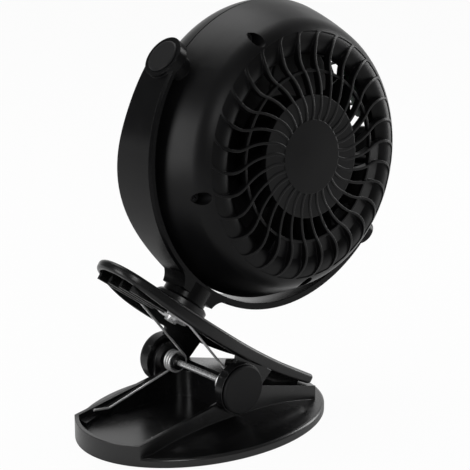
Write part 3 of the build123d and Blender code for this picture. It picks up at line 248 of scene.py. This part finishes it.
class Finish(NodeWriter):
    """A material under construction."""

    def __init__(self, name):
        self.material = bpy.data.materials.new(name)
        self.material.use_nodes = True
        super().__init__(self.material.node_tree, "ShaderNodeOutputMaterial")
        self.place = self.node("ShaderNodeTexCoord", out="Object")

    def noise(self, size, detail, rough=0.5, stretch=None):
        """Noise whose features are about a size across, from 0 to 1."""
        place = self.place
        if stretch:
            place = self.node("ShaderNodeMapping", None, {"Vector": place, "Scale": stretch})
        return self.node(
            "ShaderNodeTexNoise", None,
            {"Vector": place, "Scale": 1 / size, "Detail": detail, "Roughness": rough})

    def weave(self, direction):
        """Bands of woven threads along one direction."""
        return self.node(
            "ShaderNodeTexWave", {"bands_direction": direction},
            {"Vector": self.place, "Scale": 320, "Distortion": 0.5})

    def blend(self, mask, low, high):
        """Colour that goes from low to high with a mask."""
        return self.node(
            "ShaderNodeMix", {"data_type": "RGBA"},
            {0: mask, 6: (*low, 1), 7: (*high, 1)}, out=2)

    def rounded(self, radius):
        """Normal with edges softened over a radius."""
        return self.node("ShaderNodeBevel", {"samples": 6}, {"Radius": radius})

    def edge_wear_and_highlight(self, normal):
        """1 on rounded edges and 0 elsewhere, for edges painted lighter as wear and as a painted
        highlight.
        """
        flat = self.node("ShaderNodeNewGeometry", out="Normal")
        return (1 - self.dot(normal, flat)).above(edge=0.04, width=0.06)

    def bump(self, height, distance, strength, normal=None):
        """Normal that follows a height, on top of another normal if one is given."""
        sockets = {"Height": height, "Distance": distance, "Strength": strength}
        if normal:
            sockets["Normal"] = normal
        return self.node("ShaderNodeBump", None, sockets)

    def finish(self, **sockets):
        """Close the material with one main shader."""
        values = {key.replace("_", " "): value for key, value in sockets.items()}
        self.show(self.node("ShaderNodeBsdfPrincipled", None, values))
        return self.material


def tint(colour, factor):
    """A colour made lighter or darker by a factor."""
    return tuple(min(1.0, channel * factor) for channel in colour)


def moulded_black(name, colour, roughness, gloss=0.2):
    """Semi-gloss injection moulding: fine spark grain, faint flow marks and softened edges, which
    are painted lighter as a highlight and as wear.
    """
    f = Finish(name)
    broad = f.noise(size=0.035, detail=3)
    flow = f.noise(size=0.012, detail=4, rough=0.6, stretch=(1.0, 1.0, 0.25))
    grain = f.noise(size=0.00028, detail=2, rough=0.6)
    soft = f.rounded(0.0005)
    worn_and_lit = f.edge_wear_and_highlight(soft)
    smudge = broad.above(edge=0.56, width=0.3) * flow
    # The rounded edges are painted lighter: a painted highlight along them, with some wear.
    shade = smudge * 0.6 + grain * 0.25 + worn_and_lit * 0.35
    return f.finish(
        Base_Color=f.blend(shade, tint(colour, 0.85), tint(colour, 2.1)),
        Roughness=roughness - 0.05 + smudge * 0.12 + grain * 0.06 - worn_and_lit * 0.05,
        Normal=f.bump(grain * 0.8 + flow * 0.2, distance=0.000012, strength=0.6, normal=soft),
        IOR=1.48, Specular_IOR_Level=gloss)


def matt_black(name, colour, roughness):
    """Etched matt moulding with a coarser even grain, and rounded edges painted lighter as a
    highlight and as wear.
    """
    f = Finish(name)
    grain = f.noise(size=0.00045, detail=3, rough=0.65)
    patch = f.noise(size=0.009, detail=2)
    soft = f.rounded(0.0003)
    worn_and_lit = f.edge_wear_and_highlight(soft)
    # The rounded edges are painted lighter: a painted highlight along them, with some wear.
    shade = grain * 0.6 + patch * 0.3 + worn_and_lit * 0.4
    return f.finish(
        Base_Color=f.blend(shade, tint(colour, 0.8), tint(colour, 1.8)),
        Roughness=roughness + grain * 0.1 - patch * 0.05,
        Normal=f.bump(grain, distance=0.00003, strength=0.7, normal=soft),
        IOR=1.46, Specular_IOR_Level=0.25)


def pad_rubber(name, colour):
    """Dull rubber with a cloudy bloom and a pebbled skin."""
    f = Finish(name)
    pebble_size = 0.0007
    pebble = f.node(
        "ShaderNodeTexVoronoi", None, {"Vector": f.place, "Scale": 1 / pebble_size},
        out="Distance")
    bloom = f.noise(size=0.006, detail=4, rough=0.65)
    soft = f.rounded(0.0003)
    return f.finish(
        Base_Color=f.blend(bloom * 0.8, tint(colour, 0.7), tint(colour, 2.0)),
        Roughness=0.66 + bloom * 0.2,
        Normal=f.bump(pebble + bloom * 0.3, distance=0.00004, strength=0.5, normal=soft),
        IOR=1.5)


def bright_steel(name, colour, stretch, roughness, plated=1.0):
    """Drawn or turned steel: fine lines along the work and small dull spots."""
    f = Finish(name)
    lines = f.noise(size=0.0009, detail=3, rough=0.6, stretch=stretch)
    spots = f.noise(size=0.0016, detail=4, rough=0.7).above(edge=0.6, width=0.2)
    soft = f.rounded(0.00012)
    return f.finish(
        Base_Color=f.blend(lines * 0.7 + spots * 0.3, tint(colour, 1.15), tint(colour, 0.75)),
        Metallic=plated,
        Roughness=roughness + lines * 0.14 + spots * 0.16,
        Normal=f.bump(lines, distance=0.000004, strength=0.4, normal=soft))


def black_zinc(name):
    """Black plated screws, brighter on the edges where the driver has touched."""
    f = Finish(name)
    spots = f.noise(size=0.0012, detail=4, rough=0.7)
    soft = f.rounded(0.00015)
    worn_and_lit = f.edge_wear_and_highlight(soft)
    plating, bare_metal = (0.025, 0.025, 0.027), (0.3, 0.3, 0.31)
    return f.finish(
        Base_Color=f.blend(spots * 0.4 + worn_and_lit * 0.8, plating, bare_metal),
        Metallic=0.9,
        Roughness=0.42 + spots * 0.2 - worn_and_lit * 0.1,
        Normal=f.bump(spots, distance=0.00001, strength=0.5, normal=soft))


def board_green(name):
    """Lacquered laminate with its tracks and its weave just showing."""
    f = Finish(name)
    warp, weft = f.weave("X"), f.weave("Z")
    tracks = f.noise(size=0.0035, detail=0).above(edge=0.52, width=0.03)
    weave = warp * weft
    laminate, track_green = (0.006, 0.045, 0.02), (0.02, 0.12, 0.05)
    return f.finish(
        Base_Color=f.blend(tracks * 0.7 + weave * 0.3, laminate, track_green),
        Roughness=0.28 + weave * 0.1,
        Normal=f.bump(tracks + weave * 0.2, distance=0.00003, strength=0.6))


# ---------------------------------------------------------------- mesh helpers


def new_piece(name, bm, body, slot, material, *nodes):
    """Turn a bmesh into a finished piece that stands for nodes and rides on a body, if any."""
    mesh = bpy.data.meshes.new(name)
    bm.to_mesh(mesh)
    bm.free()
    piece = bpy.data.objects.new(name, mesh)
    bpy.context.scene.collection.objects.link(piece)
    mesh.materials.append(material)
    if body:
        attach(piece, body)
    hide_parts(*nodes)
    return piece


def soften(bm, angle):
    """Shade smoothly, but for edges that turn by more than an angle."""
    for face in bm.faces:
        face.smooth = True
    for edge in bm.edges:
        edge.smooth = len(edge.link_faces) == 2 and edge.calc_face_angle(pi) < angle


def merged(node):
    """A merged copy of a node's mesh, whose own faces are loose triangles."""
    bm = bmesh.new()
    bm.from_mesh(frame["nodes"][node].data)
    bmesh.ops.remove_doubles(bm, verts=bm.verts, dist=MERGE_GAP)
    bmesh.ops.dissolve_degenerate(bm, edges=bm.edges, dist=SLIVER_LENGTH)
    return bm


def dressed(node, body, slot, material):
    """A merged and smoothly shaded copy of a node, with its flat faces kept flat."""
    bm = merged(node)
    soften(bm, SHARP_TURN)
    piece = new_piece(node + "_skin", bm, body, slot, material, node)
    even = piece.modifiers.new("Even normals", "WEIGHTED_NORMAL")
    even.keep_sharp = True
    even.weight = NORMAL_WEIGHT


class WireTube:
    """A round wire drawn section by section, each from where the last one ended."""

    def __init__(self, tip, way, radius):
        self.bm = bmesh.new()
        bmesh.ops.create_circle(
            self.bm, cap_ends=True, cap_tris=False, radius=radius, segments=WIRE_SIDES,
            matrix=Matrix.Translation(tip) @ way.to_track_quat("Z", "Y").to_matrix().to_4x4())
        self.end = self.bm.edges[:]

    def _edges(self, grown):
        return [part for part in grown if isinstance(part, bmesh.types.BMEdge)]

    def run(self, way):
        """Draw a straight section."""
        grown = bmesh.ops.extrude_edge_only(self.bm, edges=self.end)["geom"]
        corners = [part for part in grown if isinstance(part, bmesh.types.BMVert)]
        bmesh.ops.translate(self.bm, vec=way, verts=corners)
        self.end = self._edges(grown)

    def curl(self, centre, axis, angle, steps, climb):
        """Draw a section that turns about an axis and climbs along it."""
        self.end = self._edges(bmesh.ops.spin(
            self.bm, geom=self.end, cent=centre, axis=axis, angle=angle, steps=steps,
            dvec=climb / steps, use_merge=False)["geom_last"])

    def crook(self, corner, way_in, way_out, radius):
        """Draw the bend between two straight sections that would meet at a corner."""
        angle = way_in.angle(way_out)
        axis = way_in.cross(way_out).normalized()
        centre = corner - way_in * radius * tan(angle / 2) + axis.cross(way_in) * radius
        self.curl(centre, axis, angle, BEND_STEPS, Vector())

    def closed(self):
        """Cap the end, and give the finished mesh."""
        bmesh.ops.edgeloop_fill(self.bm, edges=self.end)
        bmesh.ops.remove_doubles(self.bm, verts=self.bm.verts, dist=WIRE_MERGE_GAP)
        bmesh.ops.recalc_face_normals(self.bm, faces=self.bm.faces)
        soften(self.bm, WIRE_SHARP_TURN)
        return self.bm


def side_way(angle):
    """A direction in the side view of the clip."""
    return Vector((cos(angle), 0, sin(angle)))


# ---------------------------------------------------------------- operators


class FAN_OT_clip_base(bpy.types.Operator):
    """Finish the foot with its jaw, the foot pad and the lower jaw pad"""

    bl_idname = "fan.clip_base"
    bl_label = "Foot and Lower Jaw"

    def execute(self, context):
        look = context.scene.fan_finish
        shell = moulded_black("Foot moulding", look.shell, look.roughness - 0.1, gloss=0.75)
        dressed("base", "base", "black_plastic", shell)
        rubber = pad_rubber("Pad rubber", look.rubber)
        for node in ("foot_pad", "lower_jaw_pad"):
            dressed(node, "base", "black_rubber", rubber)
        return {"FINISHED"}


class FAN_OT_clip_lever(bpy.types.Operator):
    """Finish the lever, its jaw pad and the axle's caps"""

    bl_idname = "fan.clip_lever"
    bl_label = "Lever"

    def execute(self, context):
        look = context.scene.fan_finish
        shell = moulded_black("Lever moulding", look.shell, look.roughness - 0.08, gloss=0.45)
        dressed("upper_lever", "lever", "black_plastic", shell)
        rubber = pad_rubber("Upper pad rubber", look.rubber)
        dressed("upper_jaw_pad", "lever", "black_rubber", rubber)
        cap = matt_black("Axle cap moulding", look.cap, 0.5)
        for node in ("near_axle_cap", "far_axle_cap"):
            dressed(node, "lever", "matte_black_plastic", cap)
        return {"FINISHED"}


class FAN_OT_axle(bpy.types.Operator):
    """Finish the axle, the swivel's steel parts and the pivot screws"""

    bl_idname = "fan.axle"
    bl_label = "Axle and Swivel Steel"

    def execute(self, context):
        look = context.scene.fan_finish
        steel = bright_steel(
            "Turned steel", look.steel, stretch=(1.0, 12.0, 1.0), roughness=0.2, plated=0.8)
        dressed("axle", "base", "bright_steel", steel)
        for node in ("swivel_screw", "swivel_washer", "pivot_screws"):
            dressed(node, "yoke", "bright_steel", steel)
        return {"FINISHED"}


class FAN_OT_springs(bpy.types.Operator):
    """Wind both torsion springs as tubes"""

    bl_idname = "fan.springs"
    bl_label = "Torsion Springs"

    def execute(self, context):
        look = context.scene.fan_finish
        size = context.scene.fan_spring
        steel = bright_steel(
            "Drawn spring wire", look.steel, stretch=(1.0, 1.0, 1.0), roughness=0.22, plated=0.65)
        axle = Vector(joints["clip_open"]["pos_m"])
        self.wind("near_spring", -1, axle, size, size.near_length, True, steel)
        self.wind("far_spring", 1, axle, size, size.far_length, False, steel)
        return {"FINISHED"}

    def wind(self, node, side, axle, size, length, hooked, steel):
        """Draw one spring from its lower tip to its upper tip, on one side of the clip."""
        across = Vector((0, side, 0))
        turn_axis = Vector((0, -1, 0))

        # The wire leaves the coil at a right angle to the coil's own radius.
        start = size.lower_angle - radians(270)
        finish = WHOLE_TURNS + size.upper_angle - radians(90)
        turns = finish - start
        climb = -across * size.pitch * turns / radians(360)

        # The lower leg, from its hook to the coil.
        into = -side_way(size.lower_angle)
        hook_way = side_way(LOWER_HOOK_WAY)
        first = axle + side_way(start) * size.coil + across * size.outer
        low_bend = first - into * size.lower_length
        cut = LEG_BEND * tan(into.angle(-hook_way) / 2)
        wire = WireTube(low_bend + hook_way * LOWER_HOOK, -hook_way, size.wire / 2)
        wire.run(-hook_way * (LOWER_HOOK - cut))
        wire.crook(low_bend, -hook_way, into, LEG_BEND)
        wire.run(into * (size.lower_length - cut))

        wire.curl(axle + across * size.outer, turn_axis, turns, COIL_STEPS, climb)

        # The upper leg, which ends in a hook on the near spring alone.
        last = axle + side_way(finish) * size.coil + across * size.outer + climb
        out = side_way(size.upper_angle)
        if hooked:
            hook_out = side_way(UPPER_HOOK_WAY)
            back = LEG_BEND * tan(out.angle(hook_out) / 2)
            wire.run(out * (length - back))
            wire.crook(last + out * length, out, hook_out, LEG_BEND)
            wire.run(hook_out * (UPPER_HOOK - back))
        else:
            wire.run(out * length)

        piece = new_piece(node + "_wire", wire.closed(), None, "bright_steel", steel, node)
        axle + across * (size.outer - size.pitch * (turns / radians(360) - 0.3))
        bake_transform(piece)


class FAN_OT_yoke(bpy.types.Operator):
    """Finish the yoke, its caps and the pivot washers"""

    bl_idname = "fan.yoke"
    bl_label = "Yoke"

    def execute(self, context):
        look = context.scene.fan_finish
        shell = moulded_black("Yoke moulding", look.shell, look.roughness - 0.12, gloss=0.14)
        dressed("yoke", "yoke", "black_plastic", shell)
        cap = matt_black("Pivot cap moulding", look.cap, 0.46)
        for node in ("left_pivot_cap", "right_pivot_cap", "pivot_washers"):
            dressed(node, "yoke", "matte_black_plastic", cap)
        return {"FINISHED"}


class FAN_OT_head(bpy.types.Operator):
    """Finish the rear shell, the front guard, its badge and the shell screws"""

    bl_idname = "fan.head"
    bl_label = "Head"

    def execute(self, context):
        look = context.scene.fan_finish
        shell = moulded_black("Head moulding", look.shell, look.roughness)
        dressed("rear_shell", "head", "black_plastic", shell)
        guard = moulded_black("Guard moulding", look.shell, look.roughness)
        for node in ("front_guard", "guard_badge"):
            dressed(node, "head", "black_plastic", guard)
        dressed("shell_screws", "head", "dark_screws", black_zinc("Black zinc"))
        return {"FINISHED"}


class FAN_OT_drive(bpy.types.Operator):
    """Finish the impeller, the motor and what holds it"""

    bl_idname = "fan.drive"
    bl_label = "Impeller and Motor"

    def execute(self, context):
        look = context.scene.fan_finish
        blades = moulded_black("Impeller moulding", tint(look.shell, 1.6), 0.4)
        dressed("impeller", "impeller", "impeller_plastic", blades)
        can = bright_steel(
            "Motor can steel", look.steel, stretch=(6.0, 1.0, 1.0), roughness=0.3)
        dressed("motor_can", "head", "bright_steel", can)
        dressed("motor_shaft", "impeller", "bright_steel", can)
        retainer = matt_black("Retainer moulding", look.cap, 0.55)
        dressed("motor_retainer", "head", "matte_black_plastic", retainer)
        dressed("motor_screws", "head", "dark_screws", black_zinc("Motor screw zinc"))
        return {"FINISHED"}


class FAN_OT_board(bpy.types.Operator):
    """Finish the circuit board with its inlet, switch and speed button"""

    bl_idname = "fan.board"
    bl_label = "Board and Button"

    def execute(self, context):
        look = context.scene.fan_finish
        laminate = board_green("Lacquered laminate")
        dressed("circuit_board", "head", "board_laminate", laminate)
        dressed("board_screws", "head", "dark_screws", black_zinc("Board screw zinc"))
        tin = bright_steel("Inlet tin", look.steel, stretch=(1.0, 1.0, 4.0), roughness=0.3)
        dressed("power_inlet", "head", "bright_steel", tin)
        switch = matt_black("Switch moulding", look.cap, 0.5)
        dressed("tact_switch", "head", "matte_black_plastic", switch)
        button = moulded_black("Button moulding", look.shell, 0.3)
        dressed("speed_button", "button", "black_plastic", button)
        return {"FINISHED"}


class FAN_OT_studio(bpy.types.Operator):
    """Set up the floor, the backdrop, the soft lights and the camera"""

    bl_idname = "fan.studio"
    bl_label = "Studio"

    def execute(self, context):
        scene = context.scene
        studio = scene.fan_studio
        scene.view_settings.view_transform = "Standard"
        target = Vector(studio.target)
        self.camera(scene, studio, target)
        self.floor(scene, studio)
        self.world(scene, studio)
        for name, place, width, height, power in SOFTBOXES:
            self.softbox(scene, target, name, place, width, height, power)
        return {"FINISHED"}

    def camera(self, scene, studio, target):
        """Look at the target from the studio's azimuth and elevation."""
        way = Vector((
            sin(studio.azimuth) * cos(studio.elevation),
            -cos(studio.azimuth) * cos(studio.elevation),
            sin(studio.elevation)))
        data = bpy.data.cameras.new("Studio camera")
        data.sensor_width = SENSOR_WIDTH
        data.lens = studio.focal * SENSOR_WIDTH
        data.clip_start = CLIP_START
        camera = bpy.data.objects.new("Studio camera", data)
        camera.location = target + way * studio.distance
        camera.rotation_euler = (-way).to_track_quat("-Z", "Y").to_euler()
        scene.collection.objects.link(camera)
        scene.camera = camera

    def backdrop_side(self, writer, way, edge, width):
        """1 towards the backdrop and 0 towards the dark side of the studio."""
        return writer.dot(way, BACKDROP_WAY).above(edge, width)

    def rays(self, writer):
        """Masks of the camera's own rays, of mirrored rays and of rays passed through glass."""
        return [
            writer.node("ShaderNodeLightPath", out=kind)
            for kind in ("Is Camera Ray", "Is Glossy Ray", "Is Transmission Ray")]

    def floor(self, scene, studio):
        """A pale floor that keeps the fan's shadow and fades into the backdrop."""
        bm = bmesh.new()
        bmesh.ops.create_grid(bm, x_segments=1, y_segments=1, size=FLOOR_REACH)
        mesh = bpy.data.meshes.new("Studio floor")
        bm.to_mesh(mesh)
        bm.free()
        floor = bpy.data.objects.new("Studio floor", mesh)
        scene.collection.objects.link(floor)
        f = Finish("Pale floor")
        matt = f.node("ShaderNodeBsdfDiffuse", None, {"Color": FLOOR_COLOUR})
        glow = f.node(
            "ShaderNodeEmission", None, {"Color": WHITE, "Strength": studio.backdrop})
        seen, mirrored, passed = self.rays(f)
        towards = self.backdrop_side(f, f.place, edge=0.15, width=0.9)
        mask = seen * FLOOR_GLOW + mirrored * towards + passed * FLOOR_GLOW
        f.show(f.node("ShaderNodeMixShader", None, {0: mask, 1: matt, 2: glow}))
        mesh.materials.append(f.material)

    def world(self, scene, studio):
        """A white backdrop for what sees it, and a dim light all round for the rest."""
        world = bpy.data.worlds.new("Studio world")
        world.use_nodes = True
        w = NodeWriter(world.node_tree, "ShaderNodeOutputWorld")
        sky = w.node("ShaderNodeTexCoord", out="Generated")
        dim = w.node(
            "ShaderNodeBackground", None, {"Color": WHITE, "Strength": studio.ambient})
        white = w.node(
            "ShaderNodeBackground", None, {"Color": WHITE, "Strength": studio.backdrop})
        seen, mirrored, passed = self.rays(w)
        towards = self.backdrop_side(w, sky, edge=0.8, width=0.6)
        mask = seen + mirrored * towards + passed
        w.show(w.node("ShaderNodeMixShader", None, {0: mask, 1: dim, 2: white}))
        scene.world = world

    def softbox(self, scene, target, name, place, width, height, power):
        """A rectangular light that faces the target."""
        data = bpy.data.lights.new(name, "AREA")
        data.shape = "RECTANGLE"
        data.size = width
        data.size_y = height
        data.energy = power
        lamp = bpy.data.objects.new(name, data)
        lamp.location = place
        lamp.rotation_euler = (Vector(place) - target).to_track_quat("Z", "Y").to_euler()
        scene.collection.objects.link(lamp)


class FAN_PT_panel(bpy.types.Panel):
    """Steps and settings of the clip fan in the 3D view's sidebar"""

    bl_idname = "FAN_PT_panel"
    bl_label = "Clip Fan"
    bl_space_type = "VIEW_3D"
    bl_region_type = "UI"
    bl_category = "Clip Fan"

    def draw(self, context):
        for step in steps:
            self.layout.operator(step.bl_idname)
        scene = context.scene
        for group in (scene.fan_spring, scene.fan_finish, scene.fan_studio):
            box = self.layout.box()
            for key in group.__annotations__:
                box.prop(group, key)


steps = (
    FAN_OT_clip_base, FAN_OT_clip_lever, FAN_OT_axle, FAN_OT_springs, FAN_OT_yoke,
    FAN_OT_head, FAN_OT_drive, FAN_OT_board, FAN_OT_studio,
)
groups = (FanSpringSettings, FanFinishSettings, FanStudioSettings)


def register():
    for made in (*groups, *steps, FAN_PT_panel):
        bpy.utils.register_class(made)
    bpy.types.Scene.fan_spring = bpy.props.PointerProperty(type=FanSpringSettings)
    bpy.types.Scene.fan_finish = bpy.props.PointerProperty(type=FanFinishSettings)
    bpy.types.Scene.fan_studio = bpy.props.PointerProperty(type=FanStudioSettings)


def unregister():
    del bpy.types.Scene.fan_studio
    del bpy.types.Scene.fan_finish
    del bpy.types.Scene.fan_spring
    for made in reversed((*groups, *steps, FAN_PT_panel)):
        bpy.utils.unregister_class(made)


def main():
    """Register the add-on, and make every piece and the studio."""
    register()
    for step in steps:
        area, name = step.bl_idname.split(".")
        getattr(getattr(bpy.ops, area), name)()


if __name__ == "__main__":
    main()
